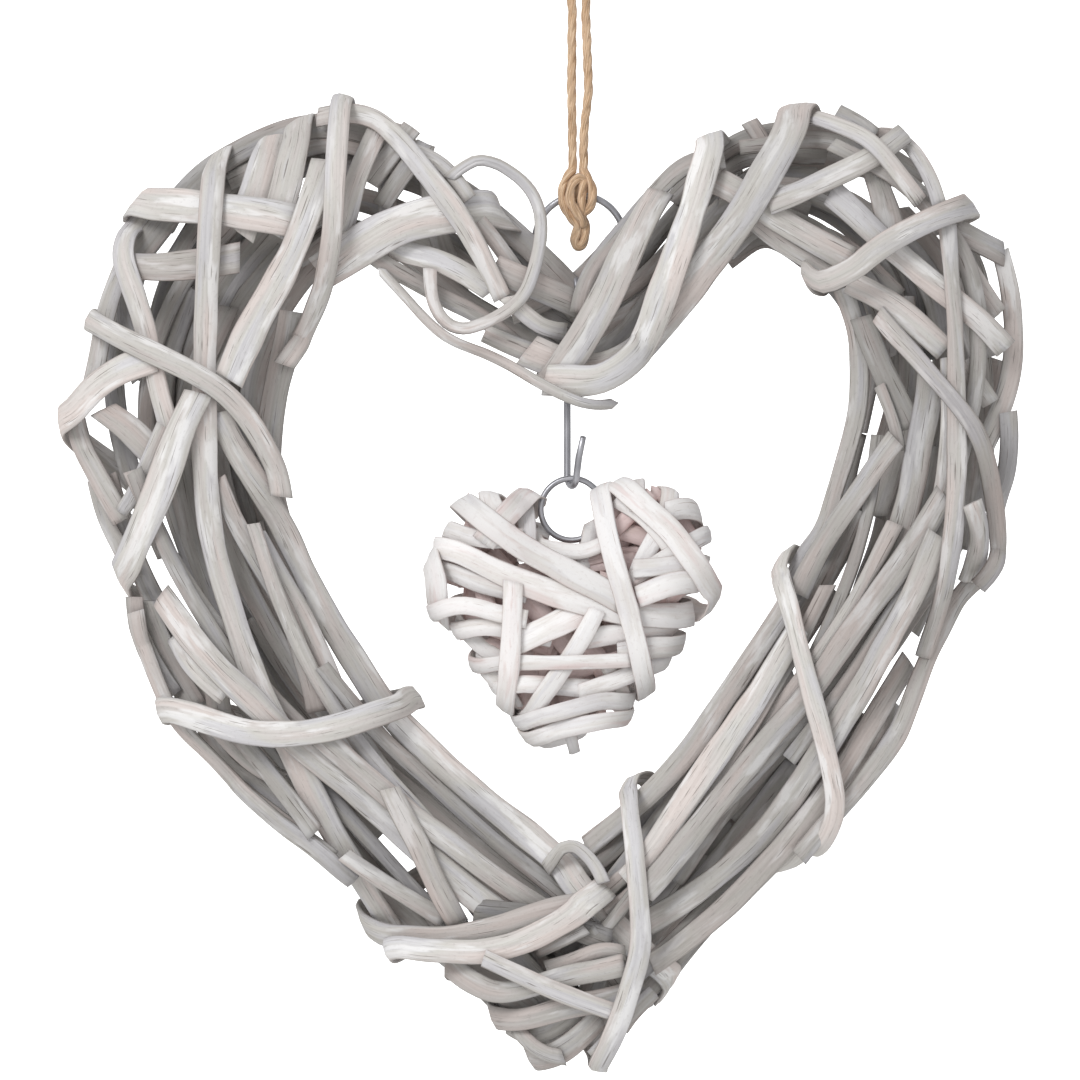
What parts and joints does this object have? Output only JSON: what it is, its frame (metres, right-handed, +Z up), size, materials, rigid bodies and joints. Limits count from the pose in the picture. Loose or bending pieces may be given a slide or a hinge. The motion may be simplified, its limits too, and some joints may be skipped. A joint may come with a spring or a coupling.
{
  "type": "heart-shaped wicker wreath",
  "caption": "Hanging heart wreath of whitewashed willow splints bound round a hollow bundle, with a small splint heart on a wire hook inside and a jute loop to hang it by.",
  "frame": {"origin": "underside of the top of the hanging loop, where the nail carries it", "axes": "+Z up, front faces -Y, +X to the right as seen from the front"},
  "size_m": [0.2992, 0.0552, 0.3612],
  "materials": {
    "whitewashed_willow": "matt whitewash worn thin over split willow, with grey and faintly lilac patches",
    "white_painted_willow": "matt white paint over split willow, pinkish brown in the cracks",
    "steel_wire": "satin drawn wire",
    "jute_twine": "two-ply jute twine, golden tan, hairy"
  },
  "bodies": {
    "root": {"back_layer": "whitewashed_willow", "cord_knot": "jute_twine", "curled_tendril": "whitewashed_willow", "dip_cross_band": "whitewashed_willow", "dip_shoulder_band": "whitewashed_willow", "dip_twig": "whitewashed_willow", "first_dip_splint": "whitewashed_willow", "first_fan_splint": "whitewashed_willow", "hanging_cord": "jute_twine", "hanging_ring": "steel_wire", "hook": "steel_wire", "inner_left_runner": "whitewashed_willow", "inner_right_edge_splint": "whitewashed_willow", "inner_right_runner": "whitewashed_willow", "left_back_lower_splint": "whitewashed_willow", "left_back_outer_splint": "whitewashed_willow", "left_binding": "whitewashed_willow", "left_bright_splint": "whitewashed_willow", "left_cross_band": "whitewashed_willow", "left_cross_runner": "whitewashed_willow", "left_edge_splint": "whitewashed_willow", "left_inner_runner": "whitewashed_willow", "left_long_runner": "whitewashed_willow", "left_slant_splint": "whitewashed_willow", "left_thick_splint": "whitewashed_willow", "left_top_splint": "whitewashed_willow", "left_turning_band": "whitewashed_willow", "lower_left_edge_splint": "whitewashed_willow", "lower_left_runner": "whitewashed_willow", "lower_tip_band": "whitewashed_willow", "middle_right_runner": "whitewashed_willow", "outer_right_runner": "whitewashed_willow", "outer_right_splint": "whitewashed_willow", "right_back_lower_splint": "whitewashed_willow", "right_back_outer_splint": "whitewashed_willow", "right_binding": "whitewashed_willow", "right_bright_splint": "whitewashed_willow", "right_curved_splint": "whitewashed_willow", "right_diagonal_splint": "whitewashed_willow", "right_edge_splint": "whitewashed_willow", "right_grey_splint": "whitewashed_willow", "right_inner_splint": "whitewashed_willow", "right_long_runner": "whitewashed_willow", "right_shoulder_splint": "whitewashed_willow", "right_upright_splint": "whitewashed_willow", "right_wrap_splint": "whitewashed_willow", "ring_splint": "whitewashed_willow", "second_dip_splint": "whitewashed_willow", "second_fan_splint": "whitewashed_willow", "second_right_runner": "whitewashed_willow", "second_tip_binding": "whitewashed_willow", "small_heart": "white_painted_willow", "small_heart_ring": "steel_wire", "third_dip_splint": "whitewashed_willow", "tip_band": "whitewashed_willow", "tip_binding": "whitewashed_willow", "tip_wrap_splint": "whitewashed_willow", "upper_dip_splint": "whitewashed_willow", "upper_left_band": "whitewashed_willow", "upper_right_splint": "whitewashed_willow"}
  },
  "joints": []
}
